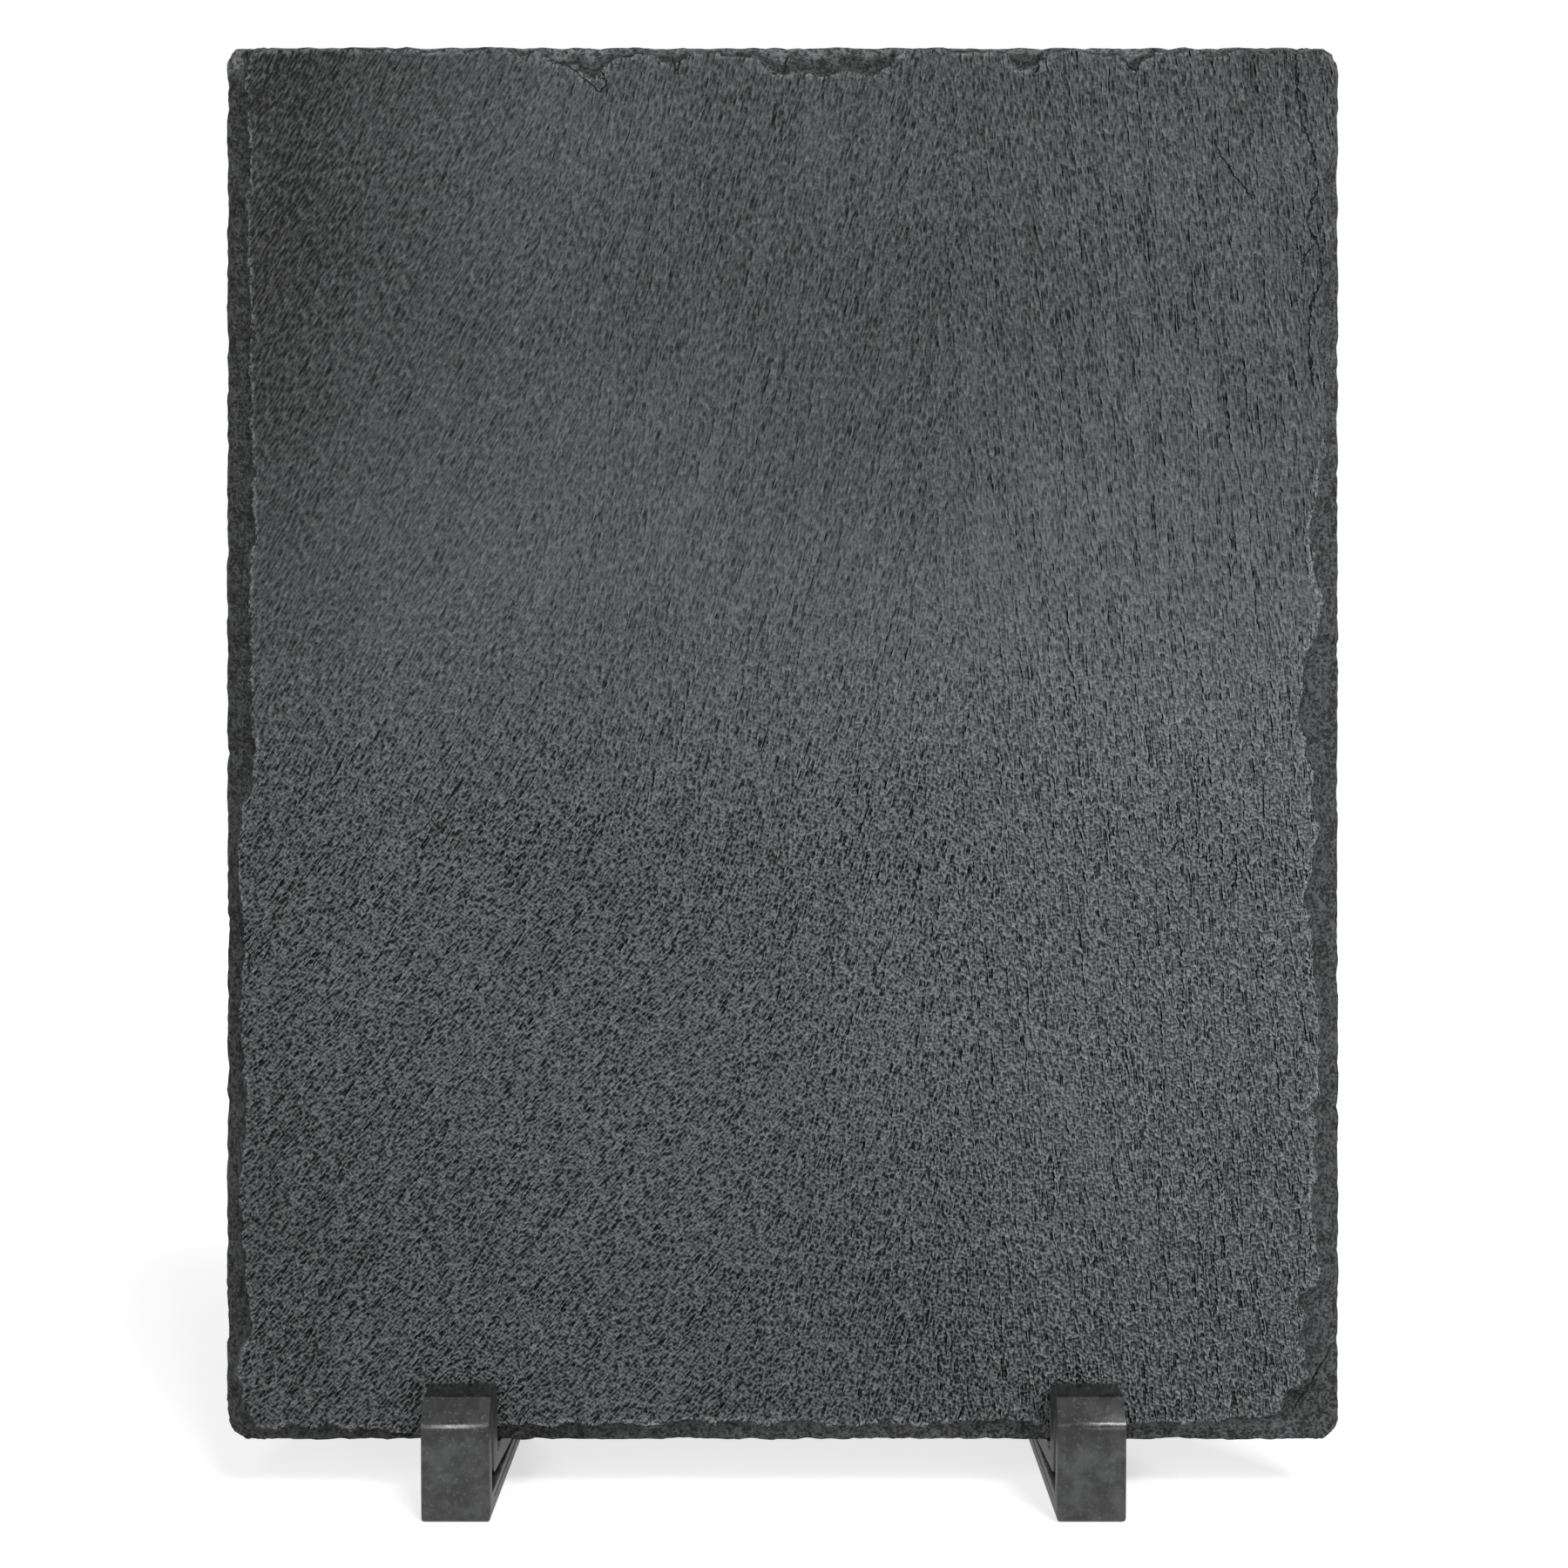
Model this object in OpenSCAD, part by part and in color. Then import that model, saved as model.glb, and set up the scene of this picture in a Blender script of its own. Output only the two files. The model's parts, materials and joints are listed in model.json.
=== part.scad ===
// Natural slate display board standing in two moulded plastic feet.
// X runs along the board, Y from front to back, Z up. The origin is on the floor, at the middle.

/* [Slate] */
// Width of the board
slate_w = 200; // [140:1:300]
// Height of the board, along its face
slate_h = 250; // [160:1:380]
// Thickness of the board
slate_t = 6; // [4:0.5:9]
// Angle that the board leans back from upright, in degrees
lean = 4; // [0:0.5:10]
// Radius of the top left corner
corner_tl = 3; // [2:0.5:8]
// Radius of the top right corner
corner_tr = 4; // [2:0.5:8]
// Radius of the bottom right corner
corner_br = 4; // [2:0.5:8]
// Radius of the bottom left corner
corner_bl = 5; // [2:0.5:8]

/* [Knapped edge] */
// Usual width of the bevel on the left edge
bevel_left = 4.3; // [2:0.1:6]
// Usual width of the bevel on the right edge
bevel_right = 3.9; // [2:0.1:6]
// Usual width of the bevel on the top edge
bevel_top = 1.3; // [0.6:0.1:3]
// Usual width of the bevel on the bottom edge
bevel_bottom = 2.2; // [1:0.1:4]
// Width of the corner chip at the bottom right, along the diagonal
corner_chip = 9; // [5:0.5:12]
// Depth of the step under the split flake at the right
flake_step = 0.6; // [0.3:0.1:1.2]
// Usual length of one flake scar along an edge
scar_len = 8; // [5:0.5:14]
// Depth that the ragged outline is bitten in
ragged = 0.45; // [0.1:0.05:0.9]
// Width of the small chamfer along the back
back_chamfer = 0.7; // [0.3:0.1:1.2]
// Distance between points along the edge
edge_step = 2; // [1.6:0.1:4]

/* [Foot] */
// Width of a foot at the floor
foot_w = 12; // [8:0.5:20]
// Width that a foot loses on each side up to its top, as draft
foot_draft = 0.4; // [0:0.05:0.8]
// Length of a foot from front to back
foot_len = 56; // [48:1:80]
// Height of the upright behind the board
upright_h = 45; // [34:1:60]
// Height of the top of the front lip
lip_h = 21.3; // [18:0.1:28]
// Height of the bend in the front wall
bend_h = 17; // [14:0.1:20]
// Distance that the lip leans back above the bend
lip_back = 4; // [2:0.1:4.6]
// Thickness of the front wall
wall_t = 3.4; // [2.4:0.1:3.8]
// Thickness of the base bar
bar_h = 4.2; // [3:0.1:5]
// Distance from the front of a foot to the face of its post
post_front = 6.4; // [5.6:0.1:7]
// Distance from the front of a foot to the slot
slot_front = 11.8; // [10.5:0.1:14]
// Clearance between the board's face and the slot's front wall
slot_clear = 1.5; // [0.5:0.1:2.5]
// Height of the seat under the board's face
seat_h = 10; // [9:0.1:12]
// Thickness of the seat bar at the post
seat_t = 3.6; // [2.8:0.1:4]
// Length of the relief groove in the front of the seat
relief_len = 3.8; // [2:0.1:4.5]
// Depth of the relief groove
relief_d = 1; // [0.5:0.1:1.5]
// Thickness of the upright
upright_t = 4; // [3:0.1:6]
// Thickness of the rear brace
brace_t = 4; // [3:0.1:5]
// Radius of the outer corners of the moulding
outer_r = 1; // [0.5:0.1:1.4]
// Radius of the inner corners of the moulding
inner_r = 1.2; // [0.5:0.1:1.3]
// Width of the groove along each side of the base bar
groove_w = 0.5; // [0.3:0.1:0.8]
// Depth of that groove
groove_d = 0.3; // [0.1:0.05:0.5]
// Height of that groove
groove_h = 3; // [2:0.1:3.4]

/* [Placing] */
// Distance from the middle to the centre of the left foot
left_x = 56.5; // [30:0.5:58]
// Distance from the middle to the centre of the right foot
right_x = 53.4; // [30:0.5:58]

/* [Hidden] */

// Overrun of every cut
over = 1;
// Points on a quarter round
round_steps = 6;
// Length over which the bevel turns round a corner
corner_zone = 14;
// Share of the thickness at which the bevel meets the outline
rim_share = 0.8;
// Share of the thickness at the middle of the bevel
mid_share = 0.42;
// Share of the bevel that a flake scar bites out of the face
scar_share = 0.3;
// Share of the bevel that a flake scar hollows out
hollow_share = 0.16;

// Bevel width down the left edge, from the top: place along the edge, share of the usual width
left_shares = [
    [0, 1.3], [0.03, 1.05], [0.05, 1.4], [0.09, 0.8], [0.2, 0.9], [0.25, 1.25], [0.29, 1.1], [0.31, 1.65],
    [0.35, 1.05], [0.39, 0.8], [0.43, 1.3], [0.48, 0.8], [0.5, 1.2], [0.54, 0.75], [0.58, 0.45], [0.64, 1],
    [0.69, 1.2], [0.76, 1.1], [0.82, 0.6], [0.87, 1.05], [0.92, 1.2], [0.97, 0.55], [1, 0.95]
];
// Bevel width down the right edge, from the top
right_shares = [
    [0, 0.5], [0.04, 0.25], [0.1, 0.85], [0.12, 0.5], [0.19, 1.05], [0.27, 0.45], [0.31, 0.8], [0.37, 1.1],
    [0.4, 0.7], [0.46, 1.5], [0.49, 1.5], [0.54, 0.95], [0.58, 0.95], [0.62, 1.25], [0.68, 0.95], [0.73, 0.85],
    [0.81, 1.1], [0.9, 1], [0.91, 1.5], [0.97, 1.5], [1, 1.6]
];
// Bevel width along the top edge, from the left
top_shares = [
    [0, 1.2], [0.1, 0.7], [0.25, 1], [0.29, 1.8], [0.325, 4.4], [0.35, 2], [0.38, 1], [0.4, 3.2], [0.42, 0.8],
    [0.48, 1.8], [0.5, 3.6], [0.6, 3.6], [0.61, 0.8], [0.71, 1], [0.725, 4.2], [0.74, 1.2], [0.82, 1.2],
    [0.825, 3.4], [0.84, 0.9], [0.93, 1.2], [1, 1.5]
];
// Bevel width along the bottom edge, from the left
bottom_shares = [
    [0, 1.1], [0.08, 0.9], [0.12, 1.5], [0.16, 0.35], [0.2, 0.95], [0.33, 1.1], [0.38, 0.8], [0.5, 1.05],
    [0.62, 0.85], [0.72, 1.1], [0.8, 0.9], [0.9, 1.15], [0.95, 1.5], [1, 2.6]
];
// Edge of the split flake down the right edge, from the top, in shares of the right bevel
flake_shares = [
    [0, 2.2], [0.04, 2], [0.06, 1.5], [0.09, 1.1], [0.115, 1.6], [0.155, 1.15], [0.18, 1.65], [0.22, 1.5],
    [0.245, 1.3], [0.27, 0.55]
];
// Share of the right edge that the split flake covers
flake_share = 0.26;
// Share of the top edge that it covers
flake_top_share = 0.05;
// Share of an edge over which it fades out
flake_fade_share = 0.02;
// Distance along an edge that the corner chip reaches
chip_reach = 8;
// Height of the blunt tip of the slit in a foot
slit_tip = 0.3;
// Length of solid foot kept behind the slit
slit_stop = 9;
// Least slope that ends the slit in a tip
level_slope = 0.01;
// Radius of a foot's upright edges
edge_break = 0.5;

// Centres of the four corner arcs, from the bottom left, and their radii
corner_r = [corner_bl, corner_br, corner_tr, corner_tl];
corner_at = [
    [corner_bl - slate_w / 2, corner_bl],
    [slate_w / 2 - corner_br, corner_br],
    [slate_w / 2 - corner_tr, slate_h - corner_tr],
    [corner_tl - slate_w / 2, slate_h - corner_tl]
];
// Bevel widths and their tables for the bottom, right, top and left edges
bevels = [bevel_bottom, bevel_right, bevel_top, bevel_left];
bevel_tables = [bottom_shares, right_shares, top_shares, left_shares];

// Direction at an angle, in a plane
function toward(a) = [cos(a), sin(a)];
// Value between two others
function between(a, b, u) = a + (b - a) * u;
// Value held from 0 to 1
function held(u) = max(0, min(1, u));
// Outward direction of edge k: bottom, right, top, left
function edge_angle(k) = 90 * (k - 1);
function edge_start(k) = corner_at[k] + corner_r[k] * toward(edge_angle(k));
function edge_end(k) = corner_at[(k + 1) % 4] + corner_r[(k + 1) % 4] * toward(edge_angle(k));
function edge_length(k) = norm(edge_end(k) - edge_start(k));
function edge_count(k) = ceil(edge_length(k) / edge_step);

// Bevel under the face, at a place along edge k counted from the left or from the top
function bevel_at(k, place) = bevels[k] * lookup(place, bevel_tables[k]);
// Width of the corner chip, at a distance from the bottom right corner
function chip_at(k, from_start, from_end) =
    k == 0 ? corner_chip * (1 - from_end / chip_reach) :
    k == 1 ? corner_chip * (1 - from_start / chip_reach) : 0;
// How far the split flake is there, from 0 to 1
function flake_here(k, place) =
    k == 1 ? held((flake_share - place) / flake_fade_share) :
    k == 2 ? held((place - 1 + flake_top_share) / flake_fade_share) : 0;
// Distance from the outline to the edge of the split flake
function flake_at(k, place) =
    k == 1 ? bevel_right * lookup(place, flake_shares) :
    k == 2 ? between(bevel_top, bevel_right * flake_shares[0][1], held((place - 1) / flake_top_share + 1)) : 0;

// One point of the outline: x, z, outward angle, angle that the bevel runs inwards along,
// bevel width, flake width and whether the flake is there
function edge_point(k, j) =
    let(run = j / edge_count(k), at = between(edge_start(k), edge_end(k), run))
    let(from_start = run * edge_length(k), from_end = edge_length(k) - from_start)
    let(turn = held(1 - from_end / corner_zone) - held(1 - from_start / corner_zone))
    let(place = k == 0 || k == 3 ? run : 1 - run)
    let(bevel = max(bevel_at(k, place), chip_at(k, from_start, from_end)))
    [at.x, at.y, edge_angle(k), edge_angle(k) + turn * 45, bevel, flake_at(k, place), flake_here(k, place)];
function corner_point(k, j) =
    let(c = (k + 1) % 4, run = j / round_steps, a = edge_angle(k) + 90 * run)
    let(at = corner_at[c] + corner_r[c] * toward(a))
    let(before = edge_point(k, edge_count(k)), after = edge_point(c, 0))
    let(mixed = [for (i = [4:6]) between(before[i], after[i], run)])
    [at.x, at.y, a, edge_angle(k) + 45, mixed[0], mixed[1], mixed[2]];
outline = [
    for (k = [0:3]) each [
        for (j = [0:edge_count(k) - 1]) edge_point(k, j),
        for (j = [0:round_steps - 1]) corner_point(k, j)
    ]
];
count = len(outline);

// Flake scars along the edge: each cell has its own width and depth
scars = round(count * edge_step / scar_len);
scar_shift = rands(-0.3, 0.3, scars, 7);
scar_depth = rands(0.35, 1, scars, 11);
function scar_start(c) = c + scar_shift[(c + scars) % scars];
function scar_at(i) =
    let(u = i * scars / count, near = floor(u))
    let(c = u < scar_start(near) ? near - 1 : u >= scar_start(near + 1) ? near + 1 : near)
    let(v = (u - scar_start(c)) / (scar_start(c + 1) - scar_start(c)))
    scar_depth[(c + scars) % scars] * 4 * v * (1 - v);
// Bites in the outline itself, a fifth of them bare
nick = rands(-0.25, 1, count, 23);
function nick_at(i) = max(0, 0.6 * nick[i] + 0.4 * scar_at(i) - 0.1);

// The board's section at point i: distance in from the outline and depth behind the face
function section(i) =
    let(p = outline[i], s = scar_at(i))
    let(b = p[4] * (1 + scar_share * (s - 0.5)), h = hollow_share * s)
    let(f = max(p[5], b + flake_step), w = p[6])
    let(plain = [
        [b, 0],
        [b * (0.93 + h / 4), slate_t * 0.1],
        [b * (0.72 + h), slate_t * 0.28],
        [b * (0.36 + h), slate_t * (mid_share + h)],
        [0, slate_t * rim_share],
        [back_chamfer, slate_t]
    ])
    let(split = [
        [f, 0],
        [f - flake_step / 2, flake_step],
        [b, flake_step * 1.4],
        [b * (0.4 + h), slate_t * (mid_share + h)],
        [0, slate_t * rim_share],
        [back_chamfer, slate_t]
    ])
    between(plain, split, w);
rings = len(section(0));
function slate_point(i, r) =
    let(p = outline[i], s = section(i)[r])
    let(rim = [p[0], p[1]] - ragged * nick_at(i) * toward(p[2]))
    let(at = rim - s[0] * toward(p[3]))
    [at.x, s[1], at.y];

module slate_solid() {
    points = [for (i = [0:count - 1]) for (r = [0:rings - 1]) slate_point(i, r)];
    face = [for (i = [0:count - 1]) (count - 1 - i) * rings];
    back = [for (i = [0:count - 1]) i * rings + rings - 1];
    sides = [
        for (i = [0:count - 1]) for (r = [0:rings - 2])
            let(a = i * rings + r, b = (i + 1) % count * rings + r)
            each [[a, b, b + 1], [a, b + 1, a + 1]]
    ];
    polyhedron(points, concat([face, back], sides));
}

// The slot's own frame in the foot's side view: back across the slot, up along the board
slot_origin = [slot_front + slot_clear, seat_h];
slot_up = [sin(lean), cos(lean)];
slot_back = [cos(lean), -sin(lean)];
function slot_at(back, up) = slot_origin + back * slot_back + up * slot_up;

function unit(v) = v / norm(v);
function crossing(p, q) = p.x * q.y - p.y * q.x;
// Point where a line from p along d meets a line from q along e
function meet(p, d, q, e) = p + d * crossing(q - p, e) / crossing(d, e);
// Corner b of an outline, between a and c, turned into an arc of radius r
function rounded_corner(a, b, c, r) =
    let(u = unit(a - b), w = unit(c - b), half = acos(u * w) / 2)
    let(middle = b + unit(u + w) * r / sin(half), start = b + u * r / tan(half) - middle)
    let(first = atan2(start.y, start.x), sweep = sign(crossing(b - a, c - b)) * (180 - 2 * half))
    r == 0 ? [b] : [for (j = [0:round_steps]) middle + r * toward(first + sweep * j / round_steps)];
// An outline with a radius for each corner, as [x, y, radius]
function rounded_outline(p) =
    let(n = len(p), at = [for (q = p) [q[0], q[1]]])
    [for (i = [0:n - 1]) each rounded_corner(at[(i + n - 1) % n], at[i], at[(i + 1) % n], p[i][2])];
function corner(at, r = 0) = [at.x, at.y, r];

slot_floor = slot_at(-slot_clear, 0);
upright_up = (upright_h - seat_h) / cos(lean);
upright_foot = slot_at(slate_t + upright_t, 0);
upright_top = slot_at(slate_t + upright_t, upright_up);
lip_up = (lip_h - seat_h - slot_clear * sin(lean)) / cos(lean);
brace_end = [foot_len, bar_h];
brace_way = unit(upright_top - brace_end);
brace_inside = brace_end + brace_t * [-brace_way.y, brace_way.x];
// Underside of the seat bar, at a distance from the front of the foot
function seat_under(back) = seat_h - seat_t - (back - slot_origin.x) * tan(lean);
slit_reach = (seat_under(post_front) - bar_h - slit_tip) / max(tan(lean), level_slope);
slit_end = min(post_front + slit_reach, foot_len - slit_stop);
// The gap behind the front wall limits its own corner radius
gap_r = min(inner_r, (post_front - wall_t) * 0.45);

// Side view of a foot
module foot_outline() {
    polygon(rounded_outline([
        corner([0, 0], outer_r),
        corner([foot_len, 0], outer_r),
        corner(brace_end, outer_r),
        corner(upright_top, outer_r),
        corner(slot_at(slate_t, upright_up), outer_r),
        corner(slot_at(slate_t, 0)),
        corner(slot_at(relief_len - slot_clear, 0)),
        corner(slot_at(relief_len - slot_clear, -relief_d)),
        corner(slot_at(-slot_clear, -relief_d)),
        corner(slot_at(-slot_clear, lip_up), outer_r / 2),
        corner([lip_back, lip_h], outer_r),
        corner([0, bend_h], outer_r)
    ]));
}
// Wedge between the base bar and the seat bar, and the gap behind the front wall
module foot_slit() {
    polygon(rounded_outline([
        corner([wall_t, bar_h]),
        corner([slit_end, bar_h]),
        corner([slit_end, seat_under(slit_end)]),
        corner([post_front, seat_under(post_front)], gap_r),
        corner([post_front, bend_h], gap_r),
        corner([wall_t, bend_h], gap_r)
    ]));
}
// Open triangle between the upright, the brace and the seat bar
module foot_window() {
    polygon(rounded_outline([
        corner(upright_foot, inner_r),
        corner(meet(brace_inside, brace_way, upright_foot, slot_back), inner_r),
        corner(meet(brace_inside, brace_way, upright_foot, slot_up), inner_r)
    ]));
}
// Front view of a foot, drafted towards the top
module foot_front() {
    polygon(rounded_outline([
        corner([-foot_w / 2, 0], outer_r),
        corner([foot_w / 2, 0], outer_r),
        corner([foot_w / 2 - foot_draft, upright_h + over]),
        corner([foot_draft - foot_w / 2, upright_h + over])
    ]));
}
// Top view of a foot, with its upright edges broken
module foot_plan() {
    polygon(rounded_outline([
        corner([-foot_w / 2, 0], edge_break),
        corner([foot_w / 2, 0], edge_break),
        corner([foot_w / 2, foot_len], edge_break),
        corner([-foot_w / 2, foot_len], edge_break)
    ]));
}
module side_groove() {
    side = foot_w / 2 - foot_draft * groove_h / upright_h;
    translate([side - groove_d, post_front, groove_h - groove_w])
        cube([groove_d + over, foot_len - post_front - bar_h, groove_w]);
}
module foot() {
    translate([0, -foot_len / 2, 0]) difference() {
        intersection() {
            translate([-foot_w, 0, 0]) rotate([90, 0, 90]) linear_extrude(2 * foot_w) difference() {
                foot_outline();
                foot_slit();
                foot_window();
            }
            translate([0, foot_len + over, 0]) rotate([90, 0, 0]) linear_extrude(foot_len + 2 * over) foot_front();
            translate([0, 0, -over]) linear_extrude(upright_h + 2 * over) foot_plan();
        }
        side_groove();
        mirror([1, 0, 0]) side_groove();
    }
}

module slate_board() {
    color("#474a4b") translate([0, slot_origin.x - foot_len / 2, seat_h]) rotate([-lean, 0, 0]) slate_solid();
}
module foot_left() {
    color("#2c2e2f") translate([-left_x, 0, 0]) foot();
}
module foot_right() {
    color("#2c2e2f") translate([right_x, 0, 0]) foot();
}

slate_board();
foot_left();
foot_right();
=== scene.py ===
import json
import math

import bmesh
import bpy
import numpy as np
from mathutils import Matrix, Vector
from mathutils.bvhtree import BVHTree


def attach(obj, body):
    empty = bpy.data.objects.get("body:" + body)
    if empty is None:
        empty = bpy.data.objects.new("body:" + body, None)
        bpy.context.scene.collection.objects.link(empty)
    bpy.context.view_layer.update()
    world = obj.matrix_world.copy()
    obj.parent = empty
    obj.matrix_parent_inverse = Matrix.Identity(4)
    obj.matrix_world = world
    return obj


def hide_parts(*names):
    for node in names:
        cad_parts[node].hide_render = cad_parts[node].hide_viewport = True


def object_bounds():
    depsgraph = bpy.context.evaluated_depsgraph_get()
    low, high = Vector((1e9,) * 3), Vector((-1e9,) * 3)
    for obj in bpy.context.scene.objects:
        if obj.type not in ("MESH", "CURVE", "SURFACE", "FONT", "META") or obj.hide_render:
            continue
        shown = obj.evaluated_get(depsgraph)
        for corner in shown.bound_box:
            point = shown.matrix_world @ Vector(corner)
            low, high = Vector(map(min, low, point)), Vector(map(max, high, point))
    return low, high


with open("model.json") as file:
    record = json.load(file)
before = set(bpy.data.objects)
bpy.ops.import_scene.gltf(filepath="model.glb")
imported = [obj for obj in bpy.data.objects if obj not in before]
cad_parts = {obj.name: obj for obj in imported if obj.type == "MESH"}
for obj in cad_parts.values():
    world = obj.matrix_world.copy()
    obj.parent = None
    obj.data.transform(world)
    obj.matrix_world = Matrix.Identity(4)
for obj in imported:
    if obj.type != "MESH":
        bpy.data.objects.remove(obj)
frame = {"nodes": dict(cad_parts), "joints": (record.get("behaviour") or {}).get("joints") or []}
cad_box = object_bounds()

MM = 0.001

# The photograph's frame, and the camera that its perspective gives
PHOTO_PIXELS = 1800
FOCAL_PIXELS = 2726
SENSOR = 36.0
CAMERA_BACK = 430 * MM
CAMERA_SIDE = 0.25 * MM
CAMERA_HEIGHT = 133.4 * MM
CAMERA_PITCH = 3.98
CAMERA_SHIFT = 150 / PHOTO_PIXELS

# The floor, pale near the object and white further off
FLOOR_SIZE = 8.0
FLOOR_LEVEL = 0.62
NEAR_GLOW = 0.62
WHITE_FROM = 0.12
WHITE_BY = 0.7

# The studio light: a raking key from above, a low sheen lamp, a tall strip at the left, a weak lamp
# behind and the room
ROOM_LEVEL = 0.18
KEY_PLACE = (0.80, -1.60, 1.95)
KEY_POWER = 44.0
KEY_SIZE = (0.80, 0.80)
SHEEN_PLACE = (0.34, -0.95, 0.20)
SHEEN_POWER = 0.8
SHEEN_SIZE = (0.30, 0.30)
GLINT_PLACE = (-0.20, -0.98, 0.52)
GLINT_POWER = 3.8
GLINT_SIZE = (0.13, 0.60)
REAR_PLACE = (-0.55, 1.50, 0.95)
REAR_POWER = 8.0
REAR_SIZE = (0.80, 0.80)

# Grid of the board's mesh: fine near the edges, coarser inside
EDGE_BAND = 8 * MM
EDGE_CELL = 0.33 * MM
FACE_CELL = 1.0 * MM

# The board's edge: depth of the rim as shares of the thickness, in the CAD and as seen at the ends and
# the sides, how far the broken edge reaches, and how much the top edge is drawn out
CAD_RIM_SHARE = 0.8
END_RIM_SHARE = 0.5
SIDE_RIM_SHARE = 0.65
EDGE_REACH = 7 * MM
TOP_SHARE = 0.80
FLAKE_DEPTH = 1.1 * MM
BACK_INSET = 0.7 * MM
JAG = 0.16 * MM

# Angles at which the grain rises: at the lower left, the upper left, the middle and the right
GRAIN_LOW = 44.0
GRAIN_LEFT = 59.0
GRAIN_MIDDLE = 74.0
GRAIN_RIGHT = 95.0
GRAINS = [("grain_low", GRAIN_LOW), ("grain_left", GRAIN_LEFT)]
GRAINS += [("grain_middle", GRAIN_MIDDLE), ("grain_right", GRAIN_RIGHT)]

# Relief of the riven face: its bands, as millimetres long and wide, and its broad swell
BAND_RELIEF = 0.09 * MM
BAND_SIZE = (24, 3.2)
SWELL_RELIEF = 0.20 * MM
SWELL_SIZE = 42 * MM

# Relief of the broken edges: their step down, flakes, terraces and ragged line
SCARP = 0.28 * MM
BEVEL_RELIEF = 0.42 * MM
FLAKE_SIZE = 1.9 * MM
TERRACE = 0.9 * MM
TERRACE_SIZE = 9 * MM
RAGGED = 0.7 * MM
RAGGED_SIZE = 3.1 * MM
JAG_SIZE = 1.3

# Relief of the back
BACK_BAND_RELIEF = 0.16 * MM
BACK_BAND_SIZE = (22, 4.2)
BACK_SWELL_RELIEF = 0.2 * MM
BACK_SWELL_SIZE = 50 * MM

# Cracks in the face, as points across from the middle and up from the foot of the board, in
# millimetres, and the length over which their ends fade
EDGE_CRACK = [(91.5, 248.5), (91.8, 240), (92.4, 236), (94.2, 231.5), (95.6, 224.5), (94.4, 221.5)]
EDGE_CRACK += [(93.4, 217.5), (95.4, 214), (96.4, 208), (94.3, 203.5), (93.8, 196), (94.6, 188)]
BRANCH = [(95.3, 214), (93.2, 212.2), (92.4, 208.5)]
HAIRLINE = [(76, 233.5), (79, 228), (84, 221.5)]
SHORT_CRACK = [(68.4, 104), (69.6, 106.6), (71.6, 108.4)]
TOP_SCAR = [(-41, 247.5), (-36.5, 244), (-33, 241), (-31.2, 241.6), (-32.8, 246)]
LOW_SCAR = [(-96.2, 89), (-94.9, 87.2), (-95.2, 84)]
TOP_NOTCH_1 = [(-20.0, 248.4), (-19.0, 244.6), (-17.2, 249.0)]
TOP_NOTCH_2 = [(0.8, 248.8), (0.5, 246.0), (0.2, 243.6)]
TOP_NOTCH_3 = [(46.2, 248.8), (45.4, 245.6), (44.7, 242.9)]
TOP_NOTCH_4 = [(60.6, 247.6), (63.0, 244.4), (64.4, 247.8)]
CHIP_LINE = [(99.0, 17.4), (97.0, 14.6), (94.4, 10.6), (91.0, 5.2)]
CRACKS = [EDGE_CRACK, BRANCH, HAIRLINE, SHORT_CRACK, TOP_SCAR, LOW_SCAR]
CRACKS += [TOP_NOTCH_1, TOP_NOTCH_2, TOP_NOTCH_3, TOP_NOTCH_4, CHIP_LINE]
CRACK_FADE = 1.2

# The round of the foot's bend: its middle back and up, its radius, its turn and how much wider it is
BEND_MIDDLE = (-27.0 * MM, 16.607 * MM)
BEND_ROUND = 1.0 * MM
BEND_TURN = math.radians(42.9)
BEND_WIDER = 1.3 * MM

# Turn that lays a texture askew to the lattice of its noise
TILT = (0.0, 0.0, 0.6)

# Fineness of the slate's textures in bumps a millimetre. Ripples and grooves have one number along the
# grain and one across it
RIPPLES = (0.65, 2.25)
GROOVES = (0.05, 0.60)
GRIT = (1.9, 1.9, 0.0)
CLOUDS = (0.016, 0.016, 0.0)
CLOUDS_PLACE = (3.0, 5.0, 0.0)
WANDER = (0.9, 0.9, 0.0)
CHIPS = (0.55, 0.9, 0.45)
FLECKS = (1.6, 1.6, 1.6)

# Grey levels of the slate from 0 to 255: darkest and palest for its face, between painted shade in its
# hollows and painted light on its ridges, for its broken stone in painted shade and in painted light,
# and one each for the painted highlight along its crests and for its cracks
FACE_LEVELS = (24, 136)
SHADED_BREAK_LEVELS = (16, 48)
LIT_BREAK_LEVELS = (66, 136)
CREST_HIGHLIGHT_LEVEL = 150
CRACK_LEVEL = 12

# Tone of the face, the gain with which its relief is painted as shade in the hollows and light on the
# ridges, and the depth of its ripples, grooves, chips and cracks
TONE_BASE = 0.375
RELIEF_SHADE_GAIN = 1.5
FACE_BUMP = 1.5 * MM
GROOVE_BUMP = 1.5 * MM
CHIP_BUMP = 1.2 * MM
CRACK_BUMP = 0.3 * MM
SLATE_SPECULAR = 0.12

# The feet's black plastic: its greys, where the dust lies, its roughness, and its textures in bumps
# a metre
PLASTIC_LEVELS = (10, 36)
DUST_LEVEL = 78
DUST_TOP = 17 * MM
DUST_FULL = 12 * MM
SCUFF_LEVEL = 100
FRONT_ROUGHNESS = (0.16, 0.26)
FLANK_ROUGHER = 0.34
MOTTLE = (320, 320, 320)
SCUFFS = (1500, 1500, 1500)
PLASTIC_BUMP = 0.05 * MM

# How far the feet's sharp edges are eased, which edges are sharp before and after that, and what is flat
FOOT_EDGE = 0.25 * MM
SHARP = math.radians(25)
SHARP_LEFT = math.radians(28)
FLAT = math.radians(1)


# Fixed noise for the shapes

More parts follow.
